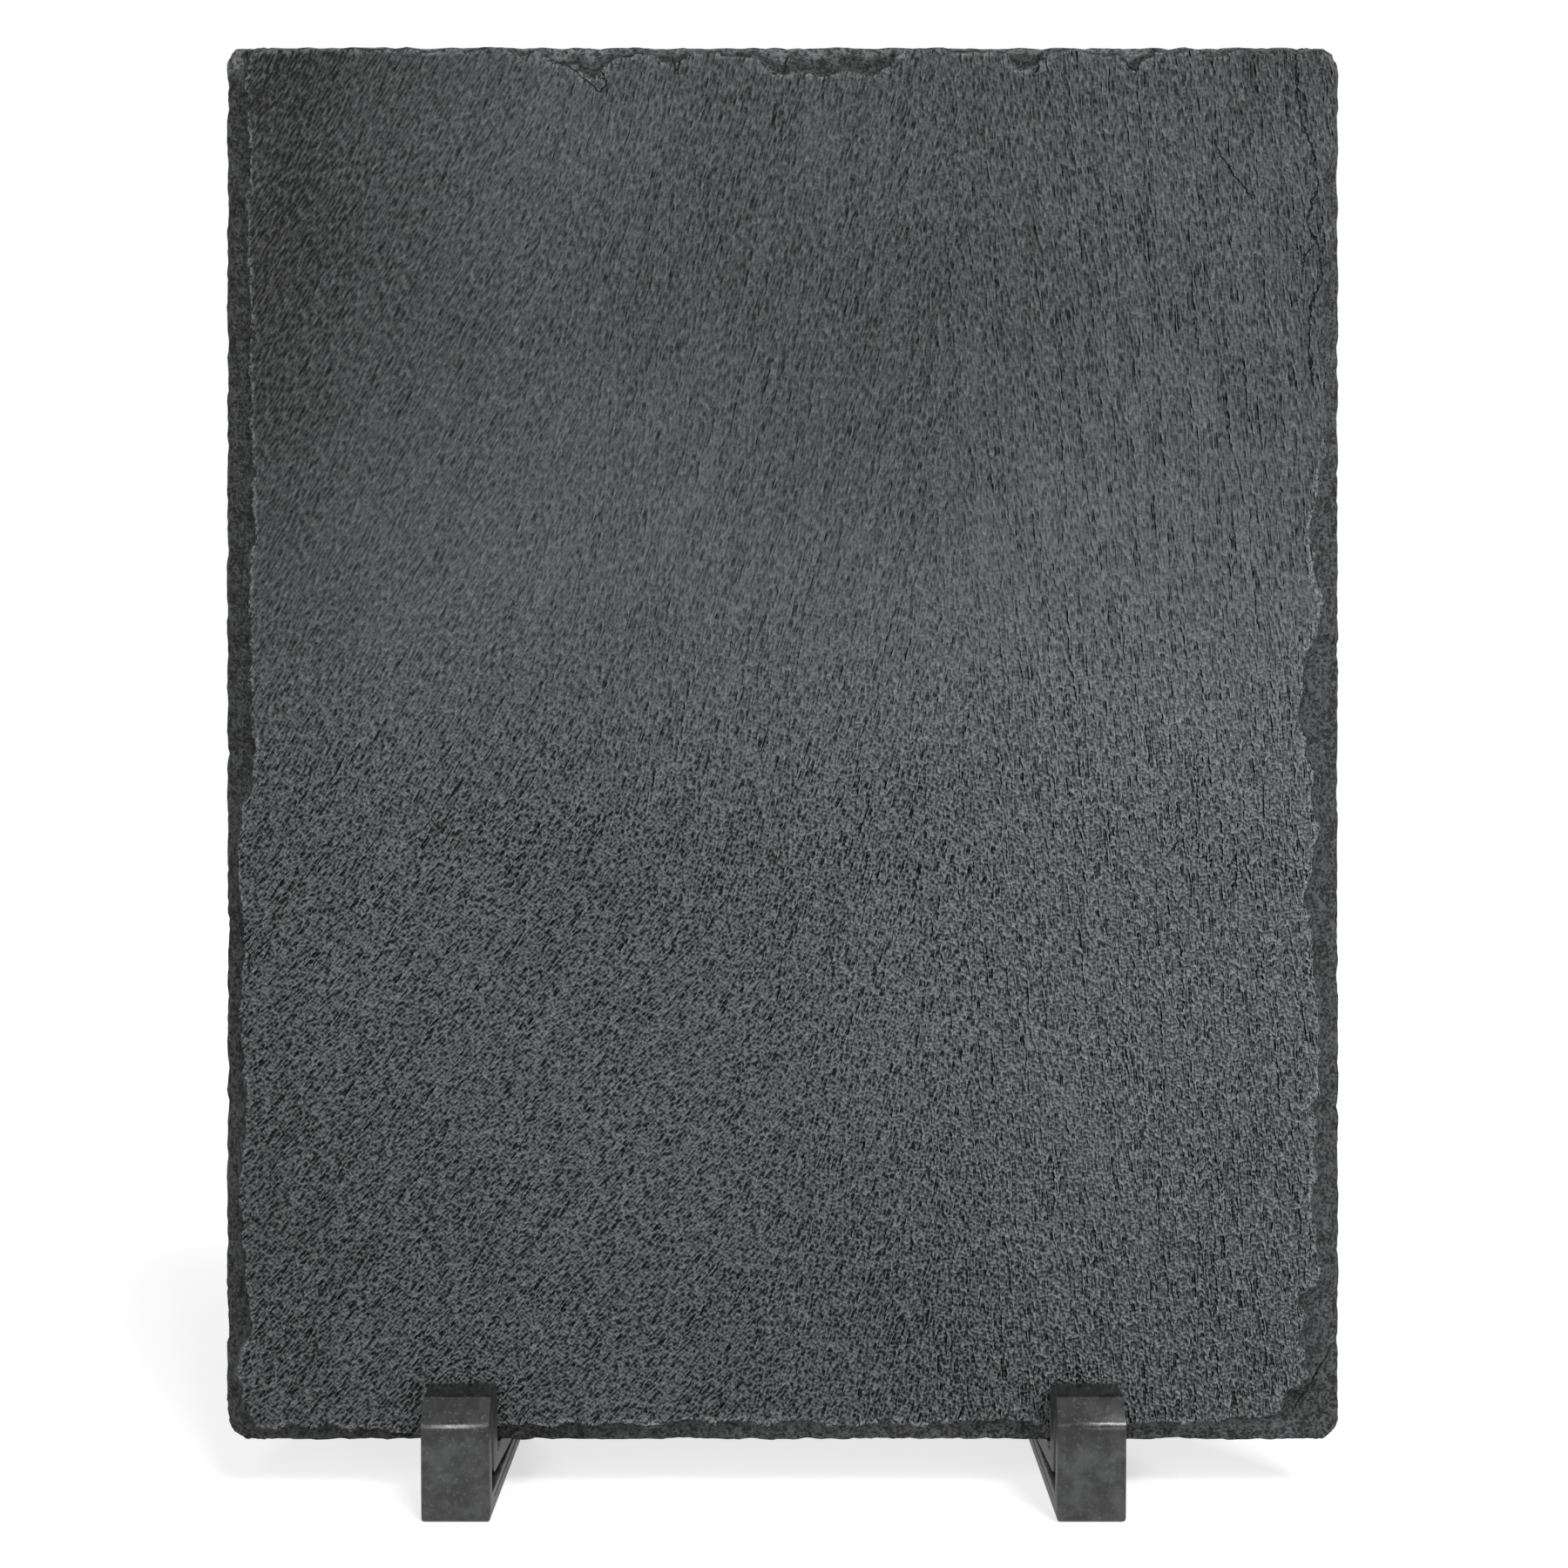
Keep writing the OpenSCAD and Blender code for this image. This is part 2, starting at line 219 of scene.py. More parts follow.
def hashed(i, j, seed):
    """A fixed value from 0 to 1 for each lattice point."""
    h = (i.astype(np.int64) * 374761393 + j.astype(np.int64) * 668265263 + seed * 974634777) & 0xFFFFFFFF
    h = ((h ^ (h >> 13)) * 1274126177) & 0xFFFFFFFF
    return (h ^ (h >> 16)) / 0xFFFFFFFF


def noise(x, y, seed):
    """Smooth value noise from -1 to 1, one bump a unit."""
    i, j = np.floor(x), np.floor(y)
    u, v = x - i, y - j
    u = u * u * u * (u * (6 * u - 15) + 10)
    v = v * v * v * (v * (6 * v - 15) + 10)
    low = hashed(i, j, seed) * (1 - u) + hashed(i + 1, j, seed) * u
    high = hashed(i, j + 1, seed) * (1 - u) + hashed(i + 1, j + 1, seed) * u
    return 2 * (low * (1 - v) + high * v) - 1


def fractal(x, y, seed, octaves=3):
    """Noise in octaves, each twice as fine and half as high."""
    total = sum(noise(x * 2**k, y * 2**k, seed + k) / 2**k for k in range(octaves))
    return total / (2 - 2.0 ** (1 - octaves))


def ramp(value, low, high):
    """Smooth step from 0 at low to 1 at high."""
    t = np.clip((value - low) / (high - low), 0, 1)
    return t * t * (3 - 2 * t)


# The slate board's shape

class Board:
    """The board's own frame: across, back from the face and up along it, all in metres."""

    def __init__(self):
        node = frame["nodes"]["slate_board"]
        lift = next(j for j in frame["joints"] if j["child"] == "slate_board")
        up = np.array(lift["axis"], float)
        up /= np.linalg.norm(up)
        across = np.array([1.0, 0.0, 0.0])
        self.axes = np.stack([across, np.cross(up, across), up])
        local = np.array([v.co for v in node.data.vertices], float) @ self.axes.T
        self.origin = np.array([0.0, local[:, 1].min(), local[:, 2].min()])
        local -= self.origin
        self.half = local[:, 0].max()
        self.thick = local[:, 1].max()
        self.height = local[:, 2].max()
        faces = [tuple(p.vertices) for p in node.data.polygons]
        self.tree = BVHTree.FromPolygons([Vector(p) for p in local], faces)

    def world(self, local):
        return (local + self.origin) @ self.axes

    def hit(self, start, way):
        return self.tree.ray_cast(Vector(start), Vector(way))[0]


def graded(low, high):
    """An odd number of places from low to high, close together near both ends."""
    edge = np.arange(0, EDGE_BAND, EDGE_CELL)
    count = 2 * round((high - low - 2 * EDGE_BAND) / FACE_CELL / 2) + 1
    inner = np.linspace(low + EDGE_BAND, high - EDGE_BAND, count)
    return np.concatenate([low + edge, inner, high - edge[::-1]])


def between(places, low, high):
    """The same places stretched to run from low to high."""
    return low + (places - places[0]) * (high - low) / (places[-1] - places[0])


def board_outline(board):
    """The four sides of the outline as polylines: bottom, top, left and right."""
    level = board.thick * CAD_RIM_SHARE
    far = 2 * board.height
    corners = {}
    for across, up in ((-1, -1), (1, -1), (-1, 1), (1, 1)):
        start = (across * (board.half + far), level, board.height * (up > 0) + up * far)
        found = board.hit(start, (-across, 0, -up))
        corners[across, up] = np.array([found[0], found[2]])
    along = graded(-board.half, board.half)
    up_along = graded(0, board.height)
    low_x = between(along, corners[-1, -1][0], corners[1, -1][0])
    high_x = between(along, corners[-1, 1][0], corners[1, 1][0])
    left_z = between(up_along, corners[-1, -1][1], corners[-1, 1][1])
    right_z = between(up_along, corners[1, -1][1], corners[1, 1][1])
    bottom = np.array([[x, board.hit((x, level, -far), (0, 0, 1))[2]] for x in low_x])
    top = np.array([[x, board.hit((x, level, far), (0, 0, -1))[2]] for x in high_x])
    left = np.array([[board.hit((-far, level, z), (1, 0, 0))[0], z] for z in left_z])
    right = np.array([[board.hit((far, level, z), (-1, 0, 0))[0], z] for z in right_z])
    for side, place, seed in ((bottom, 1, 31), (top, 1, 32), (left, 0, 33), (right, 0, 34)):
        along = side[:, 1 - place] / MM
        bite = 2 * JAG * np.abs(fractal(along / JAG_SIZE, along * 0 + seed, seed))
        middle = board.height / 2 if place == 1 else 0.0
        side[:, place] += np.sign(middle - side[:, place]) * bite
    bottom[0] = left[0] = corners[-1, -1]
    bottom[-1] = right[0] = corners[1, -1]
    top[0] = left[-1] = corners[-1, 1]
    top[-1] = right[-1] = corners[1, 1]
    return bottom, top, left, right


def board_grid(board):
    """Places of the grid on the board, as across and up, filled in from the outline."""
    bottom, top, left, right = board_outline(board)
    u = ((bottom[:, 0] - bottom[0, 0]) / (bottom[-1, 0] - bottom[0, 0]))[None, :, None]
    v = ((left[:, 1] - left[0, 1]) / (left[-1, 1] - left[0, 1]))[:, None, None]
    ruled = (1 - v) * bottom[None] + v * top[None] + (1 - u) * left[:, None] + u * right[:, None]
    corners = (1 - u) * ((1 - v) * bottom[0] + v * top[0]) + u * ((1 - v) * bottom[-1] + v * top[-1])
    return ruled - corners


def grain(x, z, degrees):
    """Coordinates along and across a grain that rises at this angle, in millimetres."""
    angle = math.radians(degrees)
    along = (x * math.cos(angle) + z * math.sin(angle)) / MM
    across = (x * math.sin(angle) - z * math.cos(angle)) / MM
    return along, across


def streaks(x, z, board, long, wide, seed):
    """Streaks along the grain, which turns from the left side to the right one."""
    turn = ramp(x, -0.5 * board.half, 0.7 * board.half)
    left_along, left_across = grain(x, z, GRAIN_LEFT)
    right_along, right_across = grain(x, z, GRAIN_RIGHT)
    left = fractal(left_along / long, left_across / wide, seed)
    right = fractal(right_along / long, right_across / wide, seed + 5)
    return (1 - turn) * left + turn * right


def zones(x, z, board):
    """How rough each place of the face is, how much painted light and shade it gets, and how dark its
    pits are painted.
    """
    lower = 1 - ramp(z, 0.40 * board.height, 0.66 * board.height)
    crown = ramp(z, 0.70 * board.height, 0.95 * board.height)
    right = ramp(x, -0.3 * board.half, 0.9 * board.half)
    left = 1 - ramp(x, -0.95 * board.half, -0.35 * board.half)
    rim = 1 - ramp(x, -0.90 * board.half, -0.72 * board.half)
    rough = (0.43 + 0.42 * lower + 0.03 * crown) * (0.92 + 0.24 * right)
    band = np.exp(-((z / board.height - 0.37) / 0.25) ** 2)
    low_band = np.exp(-((z / board.height - 0.32) / 0.27) ** 2)
    above = ramp(z, 0.45 * board.height, 0.85 * board.height)
    above += 0.2 * ramp(z, 0.92 * board.height, 0.98 * board.height)
    upper = ramp(z, 0.30 * board.height, 0.60 * board.height)
    # Painted light and shade: paler to the right and across the lower middle, a painted sheen of the
    # light from the right, and darker at the left, away from that light, and towards the top
    light = 0.25 * right - 0.10 * left - 0.40 * left * upper - 0.25 * rim
    light += 0.30 * band + 0.7 * right * low_band - 0.70 * above
    return rough, light, lower * (1 - right)


def painted_edge_light(x, z, depth, board):
    """Painted light and shade on the broken stone: dark at the left, paler at the right, palest along
    the top, as light falls from the upper right.
    """
    low = 1 - ramp(z, 3 * MM, 6 * MM)
    right = ramp(x, board.half - 9 * MM, board.half - 5 * MM)
    top = ramp(z, board.height - 6 * MM, board.height - 3 * MM)
    outer = ramp(depth, 1.4 * MM, 3.0 * MM)
    along = ramp(x, -0.6 * board.half, 0.2 * board.half)
    side = 0.14 + 0.18 * right + 0.30 * low * (1 - right) * along
    return (1 - top) * side + top * (0.06 + 0.58 * outer)


def drawn_out(away, share):
    """A distance in from the outline, shortened to this share as far as the broken edge reaches."""
    return away * (share + (1 - share) * ramp(away, EDGE_REACH, 2 * EDGE_REACH))


def edge_place(x, z, board):
    """The place on the CAD part that each place of the wider broken edge is shaped after."""
    tall = ramp(z, 70 * MM, 95 * MM) * (1 - 0.5 * ramp(z, 205 * MM, 215 * MM))
    long = ramp(x, -55 * MM, -45 * MM) * (1 - ramp(x, 45 * MM, 60 * MM))
    left_share = 0.84 - 0.15 * tall
    right_share = 0.78 - 0.05 * tall + 0.22 * ramp(z, 180 * MM, 200 * MM)
    low_share = 0.65 - 0.13 * long
    from_left = drawn_out(x + board.half, left_share) - board.half
    from_right = board.half - drawn_out(board.half - x, right_share)
    from_top = board.height - drawn_out(board.height - z, TOP_SHARE)
    inner_x = np.where(x > 0, from_right, from_left)
    inner_z = np.where(z < board.height / 2, drawn_out(z, low_share), from_top)
    return inner_x, inner_z


def split_flake(x, z, board):
    """1 where the split flake's face lies behind the rest at the upper right, and 0 elsewhere."""
    outer = ramp(x, board.half - 22 * MM, board.half - 18 * MM)
    return outer * ramp(z, board.height - 78 * MM, board.height - 70 * MM)


def beside(mask):
    """1 on the face just inside the broken edge, within two cells of it, and 0 elsewhere."""
    spread = mask.copy()
    for axis in (0, 1):
        near = spread.copy()
        for step in (-2, -1, 1, 2):
            near = np.maximum(near, np.roll(spread, step, axis) * (1 - 0.3 * (abs(step) - 1)))
        spread = near
    return spread * (1 - mask)


def groove_share(x, z, board):
    """How deep the long grooves run: least at the upper left, most at the right and the lower left."""
    lower = 1 - ramp(z, 0.25 * board.height, 0.60 * board.height)
    middle = ramp(x, -0.8 * board.half, -0.1 * board.half)
    right = ramp(x, 0.1 * board.half, 0.8 * board.half)
    return 0.65 + 0.40 * middle + 0.35 * right + 0.60 * lower * (1 - middle)


def turns(x, z, board):
    """How much of the grain runs low, left, middle and right, with squares that add up to 1."""
    low = 1 - ramp(z, 0.30 * board.height, 0.55 * board.height)
    low = low * (1 - ramp(x, -0.4 * board.half, 0.4 * board.half))
    left = 1 - ramp(x, -0.7 * board.half, -0.1 * board.half)
    right = ramp(x, 0.05 * board.half, 0.55 * board.half)
    high = 1 - low
    parts = np.stack([low, left * high, (1 - left) * (1 - right) * high, right * high])
    return parts / np.sqrt((parts**2).sum(axis=0))


def crack_values(x, z, crack):
    """Signed distance from a crack in millimetres, and how much of it is there, from 0 to 1."""
    nearest = np.full(x.shape, 1e3)
    signed = nearest.copy()
    at = np.zeros(x.shape)
    total = sum(math.dist(a, b) for a, b in zip(crack, crack[1:]))
    run = 0.0
    for (ax, az), (bx, bz) in zip(crack, crack[1:]):
        size = math.dist((ax, az), (bx, bz))
        ux, uz = (bx - ax) / size, (bz - az) / size
        px, pz = x / MM - ax, z / MM - az
        raw = px * ux + pz * uz
        here = np.clip(raw, 0, size)
        away = np.hypot(px - here * ux, pz - here * uz)
        closer = away < nearest
        nearest = np.where(closer, away, nearest)
        signed = np.where(closer, away * np.sign(px * uz - pz * ux), signed)
        at = np.where(closer, run + raw, at)
        run += size
    there = ramp(at, 0, CRACK_FADE) * (1 - ramp(at, total - CRACK_FADE, total))
    return signed, there


def rim_depth(board, x, z):
    """Depth of the visual rim nearest to each place: less at the top and bottom than at the sides."""
    side = board.half - np.abs(x)
    end = np.minimum(z, board.height - z)
    share = ramp(end - side, -4 * MM, 4 * MM)
    return board.thick * (END_RIM_SHARE + (SIDE_RIM_SHARE - END_RIM_SHARE) * share)


def cad_depth(board, x, z):
    """Depth of the CAD face behind each place, or the rim's depth beyond it."""
    depth = np.full(x.shape, board.thick * CAD_RIM_SHARE)
    for place in np.ndindex(x.shape):
        found = board.hit((x[place], -board.thick, z[place]), (0, 1, 0))
        if found is not None:
            depth[place] = min(found[1], depth[place])
    return depth


def front_depth(board, grid):
    """Depth of the front with its relief, and how deep each place is broken away."""
    x, z = grid[..., 0], grid[..., 1]
    near_edge = np.minimum(board.half - np.abs(x), np.minimum(z, board.height - z))
    pull = RAGGED * ramp(near_edge, 0.3 * MM, 1.5 * MM)
    pull = pull * (1 - ramp(near_edge, EDGE_REACH, EDGE_REACH + 2 * MM))
    shift_x = pull * fractal(x / RAGGED_SIZE, z / RAGGED_SIZE, 21)
    shift_z = pull * fractal(x / RAGGED_SIZE, z / RAGGED_SIZE, 25)
    inner_x, inner_z = edge_place(x, z, board)
    bare = cad_depth(board, inner_x + shift_x, inner_z + shift_z)
    depth = bare * rim_depth(board, x, z) / (board.thick * CAD_RIM_SHARE)
    stony = np.maximum(bare - FLAKE_DEPTH * split_flake(x, z, board), 0)
    bevel = ramp(stony, 0.02 * MM, 0.35 * MM)
    bands = streaks(x, z, board, *BAND_SIZE, 41)
    swell = fractal(x / SWELL_SIZE, z / SWELL_SIZE, 51, 2)
    face = BAND_RELIEF * bands + SWELL_RELIEF * swell
    flakes = fractal(x / FLAKE_SIZE, z / FLAKE_SIZE, 61)
    uneven = 0.6 * fractal(x / TERRACE_SIZE, z / TERRACE_SIZE, 71, 2)
    step = 2 * np.pi * (depth / TERRACE + uneven)
    broken = SCARP + BEVEL_RELIEF * flakes + 0.5 * TERRACE * np.sin(step) / np.pi
    relief = depth + (1 - bevel) * face + bevel * broken
    return np.clip(relief, -0.6 * MM, rim_depth(board, x, z) + 0.3 * MM), stony


def back_depth(board, x, z):
    """Depth of the back, which only dips inwards from the CAD plane."""
    dips = 0.5 + 0.5 * streaks(-x, z, board, *BACK_BAND_SIZE, 81)
    broad = 0.5 + 0.5 * fractal(x / BACK_SWELL_SIZE, z / BACK_SWELL_SIZE, 91, 2)
    return board.thick - BACK_BAND_RELIEF * dips - BACK_SWELL_RELIEF * broad


def border(rows, columns):
    """Grid places round the border, once round, as rows and columns."""
    loop = [(0, j) for j in range(columns - 1)] + [(i, columns - 1) for i in range(rows - 1)]
    loop += [(rows - 1, j) for j in range(columns - 1, 0, -1)] + [(i, 0) for i in range(rows - 1, 0, -1)]
    return np.array(loop)


def grid_faces(rows, columns, start, flip):
    """Quads between the points of a grid whose first point is start."""
    i, j = np.meshgrid(np.arange(rows - 1), np.arange(columns - 1), indexing="ij")
    a = (start + i * columns + j).ravel()
    quads = np.stack([a, a + 1, a + columns + 1, a + columns], axis=1)
    return quads[:, ::-1] if flip else quads


def make_board(board):
    """The riven slate board as one closed mesh, with a back of every second grid line."""
    grid = board_grid(board)
    rows, columns = grid.shape[:2]
    depth, bare = front_depth(board, grid)
    front = np.stack([grid[..., 0], depth, grid[..., 1]], axis=-1)
    centre = board.height / 2
    back_x = grid[::2, ::2, 0] * (1 - BACK_INSET / board.half)
    back_z = (grid[::2, ::2, 1] - centre) * (1 - BACK_INSET / centre) + centre
    back = np.stack([back_x, back_depth(board, back_x, back_z), back_z], axis=-1)
    back_rows, back_columns = back_x.shape

    loop = border(rows, columns)
    rim = front[loop[:, 0], loop[:, 1]]
    back_loop = border(back_rows, back_columns)
    back_rim = back[back_loop[:, 0], back_loop[:, 1]]
    place = np.arange(len(loop))
    opposite = (back_rim[place // 2] + back_rim[(place + 1) // 2 % len(back_rim)]) / 2
    share = 0.5 + 0.35 * fractal(place / 6.0, 0.0 * place, 95)[:, None]
    middle = rim * (1 - share) + opposite * share
    middle[:, [0, 2]] = rim[:, [0, 2]] * (1 - 0.25 * share) + opposite[:, [0, 2]] * 0.25 * share

    local = np.concatenate([front.reshape(-1, 3), back.reshape(-1, 3), middle])
    count = rows * columns
    behind = back_rows * back_columns
    at = loop[:, 0] * columns + loop[:, 1]
    back_at = count + back_loop[:, 0] * back_columns + back_loop[:, 1]
    ring = count + behind + place
    even, odd, later = ring[::2], ring[1::2], np.roll(ring[::2], -1)
    back_later = np.roll(back_at, -1)
    faces = [
        *grid_faces(rows, columns, 0, False).tolist(),
        *grid_faces(back_rows, back_columns, count, True).tolist(),
        *np.stack([np.roll(at, -1), at, ring, np.roll(ring, -1)], axis=1).tolist(),
        *np.stack([odd, even, back_at], axis=1).tolist(),
        *np.stack([odd, back_at, back_later], axis=1).tolist(),
        *np.stack([later, odd, back_later], axis=1).tolist(),
    ]
    mesh = bpy.data.meshes.new("slate_board_riven")
    mesh.from_pydata(np.clip(board.world(local), *np.array(cad_box)).tolist(), [], faces)
    mesh.polygons.foreach_set("use_smooth", [True] * len(mesh.polygons))
    x, z = local[:, 0], local[:, 2]
    is_front = np.arange(len(local)) < count
    broken = np.concatenate([bare.ravel() / MM, np.zeros(behind), np.full(len(loop), 2.0)])
    add_vectors(mesh, "stone", local / MM)
    add_vectors(mesh, "zones", np.stack(zones(x, z, board), axis=1))
    add_values(mesh, "groove", groove_share(x, z, board))
    for (name, angle), share in zip(GRAINS, turns(x, z, board)):
        add_vectors(mesh, name, np.stack([*grain(x, z, angle), share], axis=1))
    # How much painted light each broken edge gets
    add_values(mesh, "painted_edge_light", painted_edge_light(x, z, local[:, 1], board))
    add_values(mesh, "broken", broken)
    # A painted highlight along the crest of the face, just inside the broken edge
    crest_highlight = beside(ramp(bare, 0.02 * MM, 0.2 * MM))
    crest_highlight = crest_highlight * (1 - split_flake(grid[..., 0], grid[..., 1], board))
    add_values(mesh, "crest_highlight", np.concatenate([crest_highlight.ravel(), np.zeros(len(local) - count)]))
    for k, crack in enumerate(CRACKS):
        signed, there = crack_values(x, z, crack)
        add_vectors(mesh, f"crack_{k}", np.stack([signed, there * is_front, 0 * x], axis=1))
    mesh.update()
    piece = bpy.data.objects.new("slate_board_riven", mesh)
    bpy.context.scene.collection.objects.link(piece)
    return piece


def add_values(mesh, name, values):
    layer = mesh.attributes.new(name, "FLOAT", "POINT")
    layer.data.foreach_set("value", np.ascontiguousarray(values, np.float32))


def add_vectors(mesh, name, values):
    layer = mesh.attributes.new(name, "FLOAT_VECTOR", "POINT")
    layer.data.foreach_set("vector", np.ascontiguousarray(values, np.float32).ravel())


# Materials

class Nodes:
    """Short hands for building a material's node tree."""

    def __init__(self, name):
        self.material = bpy.data.materials.new(name)
        self.material.use_nodes = True
        self.tree = self.material.node_tree
        self.tree.nodes.clear()
        self.output = self.add("ShaderNodeOutputMaterial")

    def add(self, kind, **settings):
        node = self.tree.nodes.new(kind)
        for key, value in settings.items():
            setattr(node, key, value)
        return node

    def join(self, source, socket):
        if isinstance(source, (int, float, tuple)):
            socket.default_value = source
        else:
            self.tree.links.new(source, socket)

    def attribute(self, name, output="Vector"):
        return self.add("ShaderNodeAttribute", attribute_name=name).outputs[output]

    def scaled(self, vector, scale, shift=(0, 0, 0)):
        node = self.add("ShaderNodeMapping")
        self.join(vector, node.inputs["Vector"])
        node.inputs["Scale"].default_value = scale
        node.inputs["Location"].default_value = shift
        node.inputs["Rotation"].default_value = TILT
        return node.outputs["Vector"]

    def flat(self, vector):
        """The place across and up the board, as a plane's x and y."""
        across, _, up = self.parts(vector)
        node = self.add("ShaderNodeCombineXYZ")
        self.join(across, node.inputs["X"])
        self.join(up, node.inputs["Y"])
        return node.outputs["Vector"]

    def noise(self, vector, detail=2.0, roughness=0.5, distortion=0.0):
        node = self.add("ShaderNodeTexNoise")
        self.join(vector, node.inputs["Vector"])
        node.inputs["Scale"].default_value = 1.0
        node.inputs["Detail"].default_value = detail
        node.inputs["Roughness"].default_value = roughness
        node.inputs["Distortion"].default_value = distortion
        return node.outputs["Fac"]

    def math(self, kind, a, b=0.0, c=0.0, clamp=False):
        node = self.add("ShaderNodeMath", operation=kind, use_clamp=clamp)
        for value, socket in zip((a, b, c), node.inputs):
            self.join(value, socket)
        return node.outputs[0]

    def range(self, value, low, high, to_low=0.0, to_high=1.0):
        node = self.add("ShaderNodeMapRange", interpolation_type="SMOOTHSTEP")
        self.join(value, node.inputs["Value"])
        node.inputs["From Min"].default_value = low
        node.inputs["From Max"].default_value = high
        node.inputs["To Min"].default_value = to_low
        node.inputs["To Max"].default_value = to_high
        return node.outputs["Result"]

    def mix(self, fac, a, b):
        node = self.add("ShaderNodeMix", data_type="RGBA")
        self.join(fac, node.inputs["Factor"])
        self.join(a, node.inputs[6])
        self.join(b, node.inputs[7])
        return node.outputs[2]

    def parts(self, vector):
        node = self.add("ShaderNodeSeparateXYZ")
        self.join(vector, node.inputs[0])
        return node.outputs[0], node.outputs[1], node.outputs[2]

    def bump(self, height, distance, normal=None):
        node = self.add("ShaderNodeBump")
        self.join(height, node.inputs["Height"])
        node.inputs["Distance"].default_value = distance
        if normal is not None:
            self.join(normal, node.inputs["Normal"])
        return node.outputs["Normal"]

    def surface(self, color, roughness, normal=None, specular=0.5):
        node = self.add("ShaderNodeBsdfPrincipled")
        self.join(color, node.inputs["Base Color"])
        self.join(roughness, node.inputs["Roughness"])
        node.inputs["Specular IOR Level"].default_value = specular
        if normal is not None:
            self.join(normal, node.inputs["Normal"])
        return node.outputs["BSDF"]

    def finish(self, shader):
        self.join(shader, self.output.inputs["Surface"])
        return self.material


def grey(level, cool=0.012):
    """A grey from an sRGB level of 0 to 255, a little cool."""
    def linear(value):
        c = value / 255
        return c / 12.92 if c <= 0.04045 else ((c + 0.055) / 1.055) ** 2.4
    return (linear(level * (1 - cool)), linear(level), linear(level * (1 + cool)), 1.0)


def shades(levels):
    """The darkest and the palest grey of a stone, from their levels."""
    return grey(levels[0]), grey(levels[1])


def along_grains(n, scale, detail, roughness, low="grain_low"):
    """Noise stretched along the grain, from -0.5 to 0.5, with each direction where the slate has it."""
    total = 0.0
    for name, _ in GRAINS:
        share = n.parts(n.attribute(name))[2]
        place = n.scaled(n.attribute(low if name == "grain_low" else name), (*scale, 0.0))
        here = n.math("SUBTRACT", n.noise(place, detail, roughness, 0.2), 0.5)
        total = n.math("MULTIPLY_ADD", here, share, total)
    return total


def cleft(n, wander):
    """1 in the middle of a crack and 0 away from it."""
    total = 0.0
    for k in range(len(CRACKS)):
        away, there, _ = n.parts(n.attribute(f"crack_{k}"))
        away = n.math("ABSOLUTE", n.math("ADD", away, wander))
        line = n.math("MULTIPLY", n.range(away, 0.22, 0.06), there)
        total = n.math("MAXIMUM", line, total)
    return total


